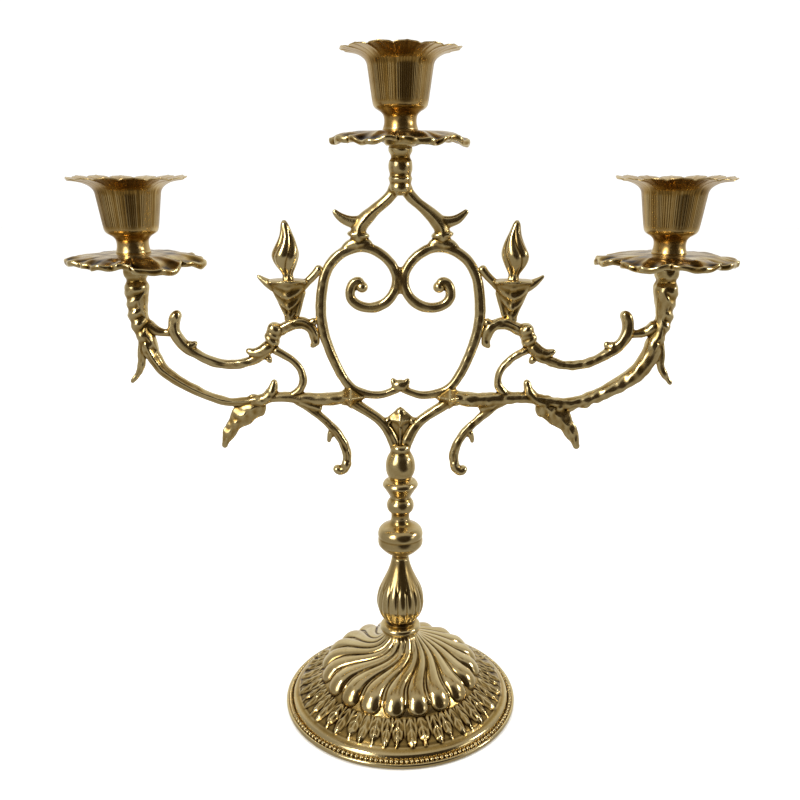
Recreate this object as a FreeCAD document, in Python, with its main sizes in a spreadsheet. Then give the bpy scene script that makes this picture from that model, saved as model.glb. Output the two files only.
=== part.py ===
# Three-light table candelabra in cast brass, in millimetres.
#
# +Z is up and the origin is the centre of the foot's bottom face. A hollow foot carries a stem of
# turned pieces, clamped by a steel rod from a nut inside the foot to the hub of the branch work.
# The branch work lies in the XZ plane: two lyre scrolls and a fork in the middle, one arm to each
# side. Each of the three posts ends in a threaded stud, which carries a drip pan and a candle cup.
import FreeCAD, Part
import math
import os
import re
import Sketcher

Vector = FreeCAD.Vector
doc = FreeCAD.newDocument("candelabra")

# ---------------------------------------------------------------- driving dimensions
# name, value, what it is
DIMENSIONS = [
    ("foot_radius", 60.6, "outside of the foot"),
    ("foot_height", 40.0, "table to the top of the foot"),
    ("foot_wall", 2.6, "wall of the cast foot"),
    ("lip_height", 3.0, "upright edge of the foot"),
    ("gadroon_radius", 40.5, "where the swirled ribs end on the foot"),
    ("gadroon_height", 15.0, "height of the foot at the end of the ribs"),
    ("boss_height", 28.0, "table to the nut's seat inside the foot"),
    ("collar_radius", 9.8, "ring that covers the joint of foot and stem"),
    ("collar_height", 4.5, "height of that ring"),
    ("baluster_height", 42.0, "fluted length of the stem, with its collar"),
    ("belly_radius", 11.3, "widest part of the baluster"),
    ("neck_radius", 4.3, "thinnest part of the stem"),
    ("knop_height", 22.0, "knop piece of the stem"),
    ("knop_radius", 10.8, "band round the knop"),
    ("spool_height", 12.0, "spool above the knop"),
    ("spool_radius", 6.3, "bead on the spool"),
    ("ring_height", 9.0, "ring under the hub"),
    ("ring_radius", 8.1, "outside of that ring"),
    ("hub_radius", 7.2, "ball of the hub"),
    ("rod_radius", 3.0, "steel rod through the stem"),
    ("rod_clearance", 0.2, "gap between rod and stem pieces"),
    ("rod_grip", 11.0, "depth of thread in the hub"),
    ("nut_height", 5.0, "hexagon nut inside the foot"),
    ("nut_width", 10.0, "across the flats of the nut"),
    ("washer_radius", 9.0, "washer under the nut's seat"),
    ("washer_height", 1.5, "thickness of the washer"),
    ("rod_tail", 1.5, "rod below the nut"),
    ("arm_reach", 121.5, "centre line to the axis of a side light"),
    ("frame_rise", 155.5, "foot of the hub to the middle drip pan"),
    ("side_rise", 103.0, "foot of the hub to a side drip pan"),
    ("lyre_bar", 2.3, "half thickness of the lyre scrolls"),
    ("arm_bar", 2.4, "half thickness of the lower arms"),
    ("upper_bar", 2.2, "half thickness of the upper arms"),
    ("scroll_bar", 1.9, "half thickness of the small scrolls"),
    ("thorn_bar", 1.4, "half thickness of links, tips and horns"),
    ("leaf_thickness", 3.0, "hanging leaves and crown"),
    ("braze_bite", 0.1, "how far brazed bars run into each other"),
    ("post_height", 21.0, "middle post"),
    ("post_radius", 5.3, "collars of the middle post"),
    ("side_post_height", 35.0, "side post"),
    ("side_post_radius", 5.8, "collars of a side post"),
    ("stud_radius", 2.5, "threaded stud of a light"),
    ("stud_depth", 8.0, "stud inside its post"),
    ("stud_reach", 7.5, "stud inside the candle cup"),
    ("thread_clearance", 0.06, "gap between stud and cup, which turns on it"),
    ("pan_radius", 31.0, "drip pan to the tips of its leaves"),
    ("pan_height", 6.0, "drip pan at its middle"),
    ("pan_clearance", 0.2, "gap between stud and drip pan"),
    ("seat_gap", 0.1, "cup above its drip pan"),
    ("cup_height", 33.4, "candle cup with its petals"),
    ("cup_radius", 24.5, "rim of the petals"),
    ("throat_radius", 13.6, "outside of the cup below the petals"),
    ("cup_wall", 1.1, "thinnest wall of the socket"),
    ("candle_radius", 11.1, "bore for the candle"),
    ("candle_depth", 12.0, "straight length of that bore"),
    ("socket_depth", 19.0, "straight bore and taper together"),
    ("urn_height", 18.0, "urn on the arm"),
    ("urn_radius", 8.6, "lip of the urn"),
    ("flame_height", 27.5, "flame above the urn"),
    ("flame_radius", 5.8, "widest part of the flame"),
    ("spigot_radius", 1.5, "peg that holds the flame in the urn"),
    ("spigot_length", 3.5, "length of that peg"),
]

sheet = doc.addObject("Spreadsheet::Sheet", "Dims")
for row, (alias, size, meaning) in enumerate(DIMENSIONS, start=1):
    sheet.set(f"A{row}", meaning)
    sheet.set(f"B{row}", str(size))
    sheet.setAlias(f"B{row}", alias)
doc.recompute()


def on_sheet(size):
    """An expression over the sheet's names, ready for setExpression."""
    return re.sub(r"[a-z][a-z_]+", lambda word: "Dims." + word.group(0), str(size))


def value(size):
    """The number that an expression over the sheet's names gives."""
    return float(sheet.evalExpression(on_sheet(size)))


# Heights of the stem's joints, and places in the branch work. The branch work is laid out in
# percent: x of arm_reach from the centre line, z of frame_rise up from the foot of the hub.
STEM_FOOT = "foot_height"
KNOP_FOOT = STEM_FOOT + " + baluster_height"
SPOOL_FOOT = KNOP_FOOT + " + knop_height"
RING_FOOT = SPOOL_FOOT + " + spool_height"
HUB_FOOT = RING_FOOT + " + ring_height"
MIDDLE_SEAT = HUB_FOOT + " + frame_rise"
POST_FOOT = MIDDLE_SEAT + " - post_height"
SIDE_SEAT = HUB_FOOT + " + side_rise"
SIDE_FOOT = SIDE_SEAT + " - side_post_height"


def out(percent, shift=""):
    return f"arm_reach * {percent / 100} {shift}"


def up(percent, shift=""):
    return f"{HUB_FOOT} + frame_rise * {percent / 100} {shift}"


# ---------------------------------------------------------------- ways of making a piece
nodes = {}


def finished(label, piece):
    """Name a finished sub-part, which puts it among the files that are written."""
    piece.Label = label
    nodes[label] = piece
    return piece


def pin(sketch, geometry, end, x, y):
    """Hold one point of a sketch at x, y, both bound to the sheet."""
    for kind, size in (("DistanceX", x), ("DistanceY", y)):
        index = sketch.addConstraint(Sketcher.Constraint(kind, -1, 1, geometry, end, value(size)))
        sketch.setExpression(f"Constraints[{index}]", on_sheet(size))


def plane_of(body, role):
    return next(f for f in body.Origin.OriginFeatures if f.Role == role)


def upright_sketch(body, outline):
    """A closed outline in the body's XZ plane. A corner is (x, z); an arc that ends at a corner
    is (x of a point on the arc, its z, x of the corner, its z)."""
    sketch = body.newObject("Sketcher::SketchObject", body.Name + "_outline")
    sketch.AttachmentSupport = (plane_of(body, "XZ_Plane"), [""])
    sketch.MapMode = "FlatFace"
    corners = [Vector(value(step[-2]), value(step[-1]), 0) for step in outline]
    pieces = []
    for number, step in enumerate(outline):
        start, end = corners[number - 1], corners[number]
        if len(step) == 2:
            pieces.append((sketch.addGeometry(Part.LineSegment(start, end)), 1, 2))
            continue
        through = Vector(value(step[0]), value(step[1]), 0)
        arc = sketch.addGeometry(Part.Arc(start, through, end))
        forward = (sketch.getPoint(arc, 1) - start).Length < 1e-6
        pieces.append((arc, 1, 2) if forward else (arc, 2, 1))
        middle = sketch.addGeometry(Part.Point(through), True)
        sketch.addConstraint(Sketcher.Constraint("PointOnObject", middle, 1, arc))
        pin(sketch, middle, 1, step[0], step[1])
    for number, (piece, start, end) in enumerate(pieces):
        following = pieces[(number + 1) % len(pieces)]
        sketch.addConstraint(Sketcher.Constraint("Coincident", piece, end, following[0], following[1]))
        pin(sketch, piece, end, outline[number][-2], outline[number][-1])
    return sketch


def stand(body, x, z):
    """Place a body by its own foot, bound to the sheet."""
    body.setExpression("Placement.Base.x", on_sheet(x))
    body.setExpression("Placement.Base.z", on_sheet(z))


def turned(name, outline, x=0, z=0):
    """A piece of revolution about its own Z axis, its outline given as radius and height."""
    body = doc.addObject("PartDesign::Body", name)
    sketch = upright_sketch(body, outline)
    revolution = body.newObject("PartDesign::Revolution", name + "_turning")
    revolution.Profile = sketch
    revolution.ReferenceAxis = (sketch, ["V_Axis"])
    revolution.Angle = 360
    stand(body, x, z)
    return body


def flat(name, outline, thickness):
    """A flat casting in the plane of the branch work, half its thickness to each side."""
    body = doc.addObject("PartDesign::Body", name)
    sketch = upright_sketch(body, outline)
    pad = body.newObject("PartDesign::Pad", name + "_pad")
    pad.Profile = sketch
    pad.setExpression("Length", on_sheet(thickness))
    pad.Midplane = True
    return body


def corner_arc(before, corner, after):
    """The largest arc that rounds a corner within 0.45 of its shorter run."""
    back, ahead = before - corner, after - corner
    cut = 0.45 * min(back.Length, ahead.Length)
    half_turn = (math.pi - back.getAngle(ahead)) / 2
    radius = cut / math.tan(half_turn)
    back.normalize()
    ahead.normalize()
    inward = (back + ahead).normalize()
    middle = corner + inward * (radius / math.cos(half_turn) - radius)
    return corner + back * cut, middle, corner + ahead * cut, radius


def bar(name, route, half_thickness):
    """A round bar in the XZ plane along straight runs joined by tangent arcs. The route lists
    the corners that the runs would meet in."""
    spine = doc.addObject("Sketcher::SketchObject", name + "_spine")
    spine.Placement = FreeCAD.Placement(Vector(), FreeCAD.Rotation(Vector(1, 0, 0), 90))
    corners = [Vector(value(x), value(z), 0) for x, z in route]
    arcs = [corner_arc(*corners[k - 1:k + 2]) for k in range(1, len(corners) - 1)]
    starts = [corners[0]] + [arc[2] for arc in arcs]
    ends = [arc[0] for arc in arcs] + [corners[-1]]
    runs = [spine.addGeometry(Part.LineSegment(a, b)) for a, b in zip(starts, ends)]
    pin(spine, runs[0], 1, *route[0])
    pin(spine, runs[-1], 2, *route[-1])
    for number, (first, middle, last, radius) in enumerate(arcs):
        bend = spine.addGeometry(Part.Arc(first, middle, last))
        near = 1 if (spine.getPoint(bend, 1) - first).Length < 1e-6 else 2
        before, after = runs[number], runs[number + 1]
        spine.addConstraint(Sketcher.Constraint("Tangent", before, 2, bend, near))
        spine.addConstraint(Sketcher.Constraint("Tangent", bend, 3 - near, after, 1))
        spine.addConstraint(Sketcher.Constraint("Radius", bend, radius))
        corner = spine.addGeometry(Part.Point(corners[number + 1]), True)
        spine.addConstraint(Sketcher.Constraint("PointOnObject", corner, 1, before))
        spine.addConstraint(Sketcher.Constraint("PointOnObject", corner, 1, after))
        pin(spine, corner, 1, *route[number + 1])
    doc.recompute()
    section = doc.addObject("Part::Circle", name + "_section")
    section.setExpression("Radius", on_sheet(half_thickness))
    foot, ahead = (Vector(point.x, 0, point.y) for point in corners[:2])
    section.Placement = FreeCAD.Placement(foot, FreeCAD.Rotation(Vector(0, 0, 1), ahead - foot))
    sweep = doc.addObject("Part::Sweep", name)
    sweep.Sections = [section]
    sweep.Spine = (spine, [f"Edge{k + 1}" for k in range(len(spine.Shape.Edges))])
    sweep.Solid = True
    return sweep


def ball(name, x, z, radius):
    sphere = doc.addObject("Part::Sphere", name)
    sphere.setExpression("Radius", on_sheet(radius))
    stand(sphere, x, z)
    return sphere


def joined(name, pieces):
    """Pieces that are cast in one."""
    union = doc.addObject("Part::MultiFuse", name)
    union.Shapes = pieces
    union.Refine = True
    return union


def mirrored(name, piece):
    """The same piece on the other side of the centre line."""
    copy = doc.addObject("Part::Mirroring", name)
    copy.Source = piece
    copy.Base = (0, 0, 0)
    copy.Normal = (1, 0, 0)
    return copy


def both_sides(name, piece):
    finished(name + "_right", piece)
    finished(name + "_left", mirrored(name + "_mirror", piece))


# ---------------------------------------------------------------- foot and clamp
def make_foot():
    """Hollow dome with an upright lip. The ribs, leaves and beads are relief on this shape."""
    dome = "gadroon_height + (foot_height - gadroon_height)"
    inner_lip = "foot_radius - foot_wall"
    finished("base_foot", turned("Foot", [
        (inner_lip, 0),
        ("foot_radius", 0),
        ("foot_radius", "lip_height"),
        ("foot_radius - 3", "lip_height + 2.2"),
        ("gadroon_radius + 12", "lip_height + 5.5"),
        ("gadroon_radius", "gadroon_height"),
        ("gadroon_radius - 2", f"{dome} * 0.2", "gadroon_radius - 7", f"{dome} * 0.36"),
        ("gadroon_radius - 18", f"{dome} * 0.6", "collar_radius + 3", f"{dome} * 0.86"),
        ("collar_radius - 0.3", "foot_height"),
        ("rod_radius + rod_clearance", "foot_height"),
        ("rod_radius + rod_clearance", "boss_height"),
        ("washer_radius", "boss_height"),
        ("washer_radius + 3", f"{dome} * 0.7"),
        ("gadroon_radius - 19", f"{dome} * 0.49", "gadroon_radius - 9", f"{dome} * 0.23"),
        ("gadroon_radius - foot_wall", "gadroon_height - foot_wall"),
        ("gadroon_radius + 10", "lip_height + 3.5"),
        (inner_lip, "lip_height"),
    ]))
    finished("base_washer", turned("Washer", [
        ("rod_radius + rod_clearance", 0),
        ("washer_radius", 0),
        ("washer_radius", "washer_height"),
        ("rod_radius + rod_clearance", "washer_height"),
    ], z="boss_height - washer_height"))


def make_nut():
    """Hexagon nut on the rod, drawn up against the washer."""
    block = doc.addObject("Part::Prism", "NutBlock")
    block.Polygon = 6
    block.setExpression("Circumradius", on_sheet("nut_width") + f" / {2 * math.cos(math.pi / 6)}")
    block.setExpression("Height", on_sheet("nut_height"))
    thread = doc.addObject("Part::Cylinder", "NutThread")
    thread.setExpression("Radius", on_sheet("rod_radius"))
    thread.setExpression("Height", on_sheet("nut_height"))
    nut = doc.addObject("Part::Cut", "Nut")
    nut.Base = block
    nut.Tool = thread
    stand(nut, 0, "boss_height - washer_height - nut_height")
    finished("base_nut", nut)


def make_rod():
    """Steel rod threaded into the hub, so that the nut clamps foot and stem together."""
    rod = doc.addObject("Part::Cylinder", "Rod")
    foot = "boss_height - washer_height - nut_height - rod_tail"
    rod.setExpression("Radius", on_sheet("rod_radius"))
    rod.setExpression("Height", on_sheet(f"{HUB_FOOT} + rod_grip - ({foot})"))
    stand(rod, 0, foot)
    finished("tie_rod", rod)


# ---------------------------------------------------------------- stem
ROD_HOLE = "rod_radius + rod_clearance"


def make_stem():
    """Four turned pieces threaded on the rod: baluster, knop, spool and ring."""
    finished("stem_baluster", turned("Baluster", [
        (ROD_HOLE, 0),
        ("collar_radius", 0),
        ("collar_radius + 0.3", "collar_height / 2", "collar_radius - 0.6", "collar_height"),
        ("belly_radius - 3.5", "collar_height"),
        ("belly_radius", "baluster_height * 0.4", "belly_radius - 3.3", "baluster_height * 0.71"),
        ("neck_radius + 0.9", "baluster_height * 0.85", "neck_radius", "baluster_height"),
        (ROD_HOLE, "baluster_height"),
    ], z=STEM_FOOT))
    finished("stem_knop", turned("Knop", [
        (ROD_HOLE, 0),
        ("neck_radius", 0),
        ("neck_radius", "knop_height * 0.12"),
        ("knop_radius - 1.2", "knop_height * 0.32"),
        ("knop_radius", "knop_height * 0.37"),
        ("knop_radius", "knop_height * 0.52"),
        ("knop_radius - 0.6", "knop_height * 0.55"),
        ("knop_radius", "knop_height * 0.58"),
        ("knop_radius", "knop_height * 0.73"),
        ("knop_radius - 3.4", "knop_height * 0.9", "neck_radius + 0.2", "knop_height"),
        (ROD_HOLE, "knop_height"),
    ], z=KNOP_FOOT))
    finished("stem_spool", turned("Spool", [
        (ROD_HOLE, 0),
        ("neck_radius + 0.2", 0),
        ("neck_radius + 0.2", "spool_height * 0.25"),
        ("spool_radius", "spool_height * 0.6", "spool_radius - 1.4", "spool_height * 0.92"),
        ("spool_radius - 1.4", "spool_height"),
        (ROD_HOLE, "spool_height"),
    ], z=SPOOL_FOOT))
    finished("stem_ring", turned("Ring", [
        (ROD_HOLE, 0),
        ("ring_radius - 2.6", 0),
        ("ring_radius", "ring_height * 0.55", "ring_radius - 2.5", "ring_height"),
        (ROD_HOLE, "ring_height"),
    ], z=RING_FOOT))


# ---------------------------------------------------------------- middle of the branch work
def make_hub():
    """Ball with a threaded hole, a web and two legs that carry the lyre."""
    core = turned("HubBall", [
        ("rod_radius", 0),
        ("hub_radius - 2", 0),
        ("hub_radius", "hub_radius + 0.8", "hub_radius - 2.8", "hub_radius * 2"),
        (0, "hub_radius * 2 + 1"),
        (0, "rod_grip"),
        ("rod_radius", "rod_grip"),
    ], z=HUB_FOOT)
    web = flat("HubWeb", [
        ("-lyre_bar", up(8.5)),
        ("lyre_bar", up(8.5)),
        (out(3.5), up(13)),
        (out(7.5), up(18.5)),
        (out(4.5), up(20)),
        (0, up(23.5)),
        (out(-4.5), up(20)),
        (out(-7.5), up(18.5)),
        (out(-3.5), up(13)),
    ], "lyre_bar * 1.6")
    leg = bar("HubLeg", [
        (out(1.8), up(9)),
        (out(3.2), up(13)),
        (out(5.8), up(17)),
        (out(9.5), up(20)),
        (out(14.5), up(22.5)),
        (out(20), up(25)),
        (out(24), up(26.2)),
    ], "lyre_bar")
    finished("frame_hub", joined("Hub", [core, web, leg, mirrored("HubLegMirror", leg)]))


def make_lyre():
    """One scroll to each side: from the eye of its inner volute over the top and down the
    outside to the middle. The two volutes are brazed where they meet on the centre line."""
    both_sides("lyre", bar("Lyre", [
        (out(13.5), up(62)),
        (out(16), up(62.6)),
        (out(18.4), up(61)),
        (out(19), up(58.2)),
        (out(16.8), up(55.8)),
        (out(12.5), up(54.4)),
        (out(8), up(54.8)),
        (out(4), up(57)),
        ("lyre_bar - braze_bite", up(60.5)),
        ("lyre_bar - braze_bite", up(64.5)),
        (out(4.5), up(68)),
        (out(9), up(71)),
        (out(15), up(72.2)),
        (out(21), up(70.6)),
        (out(26), up(67)),
        (out(29), up(62.5)),
        (out(30.4), up(56.5)),
        (out(30.4), up(50.5)),
        (out(29), up(45)),
        (out(26.2), up(39.5)),
        (out(22.8), up(34.8)),
        (out(18), up(31)),
        (out(12.5), up(28.7)),
        (out(7.5), up(27.8)),
        (out(3.8), up(28.6)),
        (0, up(29.6)),
    ], "lyre_bar"))
    finished("lyre_crown", flat("Crown", [
        (out(-4), up(28.5)),
        (out(4), up(28.5)),
        (out(3.8), up(32.5)),
        (out(1.6), up(30.8)),
        (0, up(32)),
        (out(-1.6), up(30.8)),
        (out(-3.8), up(32.5)),
    ], "leaf_thickness"))


def make_fork():
    """Two legs from the lyre to the middle post, each with a horn at its bend."""
    leg = bar("ForkLeg", [
        ("lyre_bar - braze_bite", POST_FOOT + " + 3.5"),
        ("lyre_bar + 2", POST_FOOT + " + 0.5"),
        (out(8.2), up(83.5)),
        (out(13.4), up(80)),
        (out(15.5), up(76.4)),
        (out(15.2), up(72.6)),
    ], "upper_bar")
    horn = bar("ForkHorn", [
        (out(14.5), up(78.4)),
        (out(18), up(80.2)),
        (out(21.5), up(80.6)),
        (out(25), up(82.2)),
    ], "thorn_bar")
    both_sides("fork", joined("Fork", [leg, horn]))


def post_outline(foot_radius, collar_radius, height):
    """A post that widens to two collars under its drip pan, with a tapped hole for the stud."""
    return [
        (0, 0),
        (foot_radius, 0),
        (f"{collar_radius} - 0.8", f"{height} - 12"),
        (collar_radius, f"{height} - 9.5", f"{collar_radius} - 0.9", f"{height} - 7"),
        (f"{collar_radius} - 1.2", f"{height} - 5"),
        (collar_radius, f"{height} - 2.5"),
        (collar_radius, height),
        ("stud_radius", height),
        ("stud_radius", f"{height} - stud_depth"),
        (0, f"{height} - stud_depth"),
    ]


def make_posts():
    outline = post_outline("post_radius - 0.8", "post_radius", "post_height")
    finished("top_post", turned("TopPost", outline, z=POST_FOOT))
    outline = post_outline("side_post_radius - 1.4", "side_post_radius", "side_post_height")
    both_sides("side_post", turned("SidePost", outline, "arm_reach", SIDE_FOOT))


# ---------------------------------------------------------------- side arms
def make_lower_arm():
    """The main bar of the arm, with the tail that hangs outside it and an upright tip."""
    main = bar("ArmMain", [
        (out(99), SIDE_FOOT + " + 1.5"),
        (out(97), SIDE_FOOT + " - 5"),
        (out(93), up(35.6)),
        (out(87.5), up(31.8)),
        (out(81), up(28.8)),
        (out(73.5), up(26.3)),
        (out(66), up(25.2)),
        (out(57.5), up(25.6)),
        (out(49), up(26.6)),
        (out(41), up(26.2)),
        (out(33), up(26)),
        (out(25), up(26.4)),
        (out(19.5), up(31)),
    ], "arm_bar")
    tail = bar("ArmTail", [
        (out(99.5), SIDE_FOOT + " + 1.5"),
        (out(100.8), SIDE_FOOT + " - 6.5"),
        (out(102.3), SIDE_FOOT + " - 14"),
        (out(105.5), SIDE_FOOT + " - 19.5"),
    ], "thorn_bar + 0.3")
    tip = bar("ArmTip", [(out(49), up(26)), (out(48.6), up(31.8))], "thorn_bar")
    both_sides("arm_lower", joined("ArmLower", [main, tail, tip]))


def make_upper_arm():
    """A scroll from its curled tip to the knuckle, linked to the side post."""
    main = bar("ArmUpperMain", [
        (out(84), up(52.8)),
        (out(86.8), up(51.2)),
        (out(87.6), up(48)),
        (out(86), up(45)),
        (out(83), up(42)),
        (out(78.8), up(39.6)),
        (out(73.5), up(37.8)),
        (out(67), up(36.9)),
        (out(60.5), up(37.5)),
        (out(54.7), up(39.3)),
        (out(50.6), up(42.2)),
        (out(48.3), up(46)),
    ], "upper_bar")
    link = bar("ArmUpperLink", [(out(87), up(47.6)), (out(97.5), SIDE_FOOT + " + 5.5")], "thorn_bar")
    knuckle = ball("Knuckle", out(48.2), up(47.2), "upper_bar + 1.4")
    both_sides("arm_upper", joined("ArmUpper", [main, link, knuckle]))


def make_small_scrolls():
    """Scrolls brazed between the two bars of the arm and the lyre, and one that hangs free."""
    both_sides("arm_knuckle_scroll", bar("KnuckleScroll", [
        (out(47.5), up(46.8)),
        (out(43.5), up(48.2)),
        (out(38.5), up(49.6)),
        (out(34.6), up(48.6)),
        (out(28.8, "+ lyre_bar + scroll_bar - braze_bite * 3"), up(45.6)),
        (out(32.4), up(42.6)),
    ], "scroll_bar"))
    both_sides("arm_loop", bar("ArmLoop", [
        (out(50), up(41.8)),
        (out(45.8), up(40.4)),
        (out(41.4), up(38)),
        (out(38.6), up(34.6)),
        (out(38.4), up(31)),
        (out(40.8), up(28)),
        (out(45), up(25.8)),
    ], "scroll_bar"))
    drop = bar("DropScrollBar", [
        (out(42), up(26.4)),
        (out(38), up(24.2)),
        (out(33.3), up(21.6)),
        (out(28.8), up(18.2)),
        (out(24.8), up(14.4)),
        (out(22), up(10)),
        (out(21.6), up(6.2)),
        (out(23), up(3.8)),
    ], "scroll_bar")
    eye = ball("DropScrollEye", out(23.7), up(3.4), "scroll_bar + 1.4")
    both_sides("drop_scroll", joined("DropScroll", [drop, eye]))


def make_leaves():
    """A toothed leaf that hangs under the lower arm."""
    both_sides("drop_leaf", flat("DropLeaf", [
        (out(68.5), up(25)),
        (out(71.8), up(18.5), out(72.6), up(11)),
        (out(71), up(10)),
        (out(68.2), up(13.5)),
        (out(64.4), up(15.6)),
        (out(62), up(19)),
        (out(57), up(20.4)),
        (out(54), up(25.5)),
    ], "leaf_thickness"))


def make_urns():
    """A flaring urn on the knuckle scroll, with a horn outwards and a link to the lyre. Its
    flame is a separate casting, pegged into it."""
    axis = out(42.4)
    foot = up(50.3)
    cup = turned("UrnCup", [
        (0, 0),
        ("urn_radius - 5.2", 0),
        ("urn_radius - 5.6", "urn_height * 0.12"),
        ("urn_radius - 2.6", "urn_height * 0.5", "urn_radius", "urn_height * 0.95"),
        ("urn_radius", "urn_height"),
        ("spigot_radius", "urn_height"),
        ("spigot_radius", "urn_height - spigot_length"),
        (0, "urn_height - spigot_length"),
    ], axis, foot)
    lip = foot + " + urn_height"
    horn = bar("UrnHorn", [
        (f"{axis} + urn_radius - 2", lip + " - 1.8"),
        (f"{axis} + urn_radius + 2", lip + " - 0.6"),
        (f"{axis} + urn_radius + 5", lip + " + 1.4"),
    ], "thorn_bar - 0.2")
    link = bar("UrnLink", [
        (f"{axis} - urn_radius + 2", lip + " - 2"),
        (f"{axis} - urn_radius - 1.5", lip + " - 0.6"),
        (out(29.4), up(65)),
    ], "thorn_bar")
    both_sides("urn", joined("Urn", [cup, horn, link]))
    both_sides("flame", turned("Flame", [
        (0, 0),
        ("spigot_radius", 0),
        ("spigot_radius", "spigot_length"),
        ("spigot_radius + 0.8", "spigot_length"),
        ("spigot_radius + 0.6", "spigot_length + 3"),
        ("flame_radius", "spigot_length + flame_height * 0.42", "flame_radius - 2.4",
         "spigot_length + flame_height * 0.68"),
        (0, "spigot_length + flame_height"),
    ], axis, lip + " - spigot_length"))


# ---------------------------------------------------------------- lights
PAN_HOLE = "stud_radius + pan_clearance"
CUP_HOLE = "stud_radius + thread_clearance"


def stud_for(name, x, seat):
    """Threaded stud, screwed into its post and standing up through the pan into the cup."""
    stud = doc.addObject("Part::Cylinder", name)
    stud.setExpression("Radius", on_sheet("stud_radius"))
    stud.setExpression("Height", on_sheet("stud_depth + pan_height + seat_gap + stud_reach"))
    stand(stud, x, f"{seat} - stud_depth")
    return stud


def pan_for(name, x, seat):
    """Leafed drip pan, thick at its hub and drooping to the tips of its leaves."""
    return turned(name, [
        (PAN_HOLE, 0),
        ("side_post_radius + 1.2", 0),
        ("pan_radius * 0.45", "pan_height * 0.42", "pan_radius * 0.74", "pan_height * 0.38"),
        ("pan_radius - 1", "pan_height * 0.17"),
        ("pan_radius", "pan_height * 0.38"),
        ("pan_radius - 1", "pan_height * 0.6"),
        ("pan_radius * 0.68", "pan_height", "pan_radius * 0.34", "pan_height + 1"),
        ("pan_radius * 0.26", "pan_height"),
        (PAN_HOLE, "pan_height"),
    ], x, seat)


def cup_for(name, x, seat):
    """Candle cup: a foot with the thread, a socket that tapers to its floor and a petal rim."""
    throat = "cup_height - 5"
    floor = f"{throat} - socket_depth + 1"
    taper = f"{throat} - candle_depth + 0.5"
    return turned(name, [
        (0, "stud_reach + 1"),
        (CUP_HOLE, "stud_reach + 1"),
        (CUP_HOLE, 0),
        (6.6, 0),
        (5.8, f"{floor} - 6.6", 7.4, f"{floor} - 4.6"),
        ("candle_radius - 1", f"{floor} - 2.2"),
        ("candle_radius + 0.3", f"{floor} - 0.4"),
        ("throat_radius", throat),
        ("throat_radius + 3.2", "cup_height - 2.6", "cup_radius", "cup_height - 0.9"),
        ("cup_radius", "cup_height"),
        ("cup_radius - 7", "cup_height - 1.7", "candle_radius + 1.2", "cup_height - 4.2"),
        ("candle_radius", f"{throat} + 0.5"),
        ("candle_radius", taper),
        ("candle_radius - cup_wall - 0.5", floor),
        (0, floor),
    ], x, f"{seat} + pan_height + seat_gap")


def make_lights():
    for make, name in ((stud_for, "candle_stud"), (pan_for, "drip_pan"), (cup_for, "candle_cup")):
        finished(name + "_middle", make(name + "M", 0, MIDDLE_SEAT))
        both_sides(name, make(name + "S", "arm_reach", SIDE_SEAT))


# ---------------------------------------------------------------- build, check and write
make_foot()
make_nut()
make_rod()
make_stem()
make_hub()
make_lyre()
make_fork()
make_posts()
make_lower_arm()
make_upper_arm()
make_small_scrolls()
make_leaves()
make_urns()
make_lights()
doc.recompute()

for item in doc.Objects:
    if "Invalid" in item.State or "Error" in item.State:
        raise RuntimeError(f"{item.Label} did not build: {item.State}")
for label, piece in nodes.items():
    if piece.Shape.isNull() or not piece.Shape.isValid() or not piece.Shape.Solids:
        raise RuntimeError(f"{label} is not a valid solid")

os.makedirs("parts", exist_ok=True)
for label, piece in nodes.items():
    piece.Shape.exportStep(f"parts/{label}.step")
print(len(nodes), "nodes written")
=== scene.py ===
"""Looks of a three-light table candelabra in cast brass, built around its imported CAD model.

Shapes are worked out in millimetres and put into meshes in metres, in the CAD model's own frame:
+Z up, the foot's bottom on the table, the branch work in the XZ plane with its front to -Y.
"""
import math

import bpy
import numpy as np
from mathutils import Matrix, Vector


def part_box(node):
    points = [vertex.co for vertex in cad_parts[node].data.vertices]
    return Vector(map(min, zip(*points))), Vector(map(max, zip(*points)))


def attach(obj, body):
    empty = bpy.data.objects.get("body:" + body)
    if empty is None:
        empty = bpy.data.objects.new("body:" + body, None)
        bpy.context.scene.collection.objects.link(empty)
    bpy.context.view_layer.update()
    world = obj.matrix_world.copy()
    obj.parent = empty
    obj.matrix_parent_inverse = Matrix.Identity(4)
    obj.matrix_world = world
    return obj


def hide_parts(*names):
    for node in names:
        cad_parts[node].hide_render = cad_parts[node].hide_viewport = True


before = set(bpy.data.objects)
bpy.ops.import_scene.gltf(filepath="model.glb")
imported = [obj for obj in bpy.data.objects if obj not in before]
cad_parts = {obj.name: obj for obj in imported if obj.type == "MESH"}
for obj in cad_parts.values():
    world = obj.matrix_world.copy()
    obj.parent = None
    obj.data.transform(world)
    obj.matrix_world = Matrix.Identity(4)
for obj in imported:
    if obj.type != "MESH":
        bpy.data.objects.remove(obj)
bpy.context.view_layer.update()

# ------------------------------ camera
# A normal lens at the table's edge, a little above the lights and looking down at the foot.
camera = bpy.data.objects.new("camera", bpy.data.cameras.new("camera"))
bpy.context.scene.collection.objects.link(camera)
camera.location = (0.0046, -0.4025, 0.2788)
camera.rotation_euler = (math.radians(90 - 18.41), 0, math.radians(0.68))
camera.data.lens = 39.24
camera.data.shift_y = 0.05
camera.data.clip_start = 0.01
bpy.context.scene.camera = camera

# ------------------------------ foot
# The foot is a hollow casting, 2.6 mm thick, with an open underside. Its swirled ribs, its band
# of leaves and its row of beads are chased into the pattern, so they are one with the wall.
MM = 0.001
TURN = 2 * math.pi


def step(x):
    """Rises smoothly from 0 at x = 0 to 1 at x = 1: three x squared less two x cubed."""
    x = np.clip(x, 0, 1)
    return x * x * (3 - 2 * x)


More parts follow.
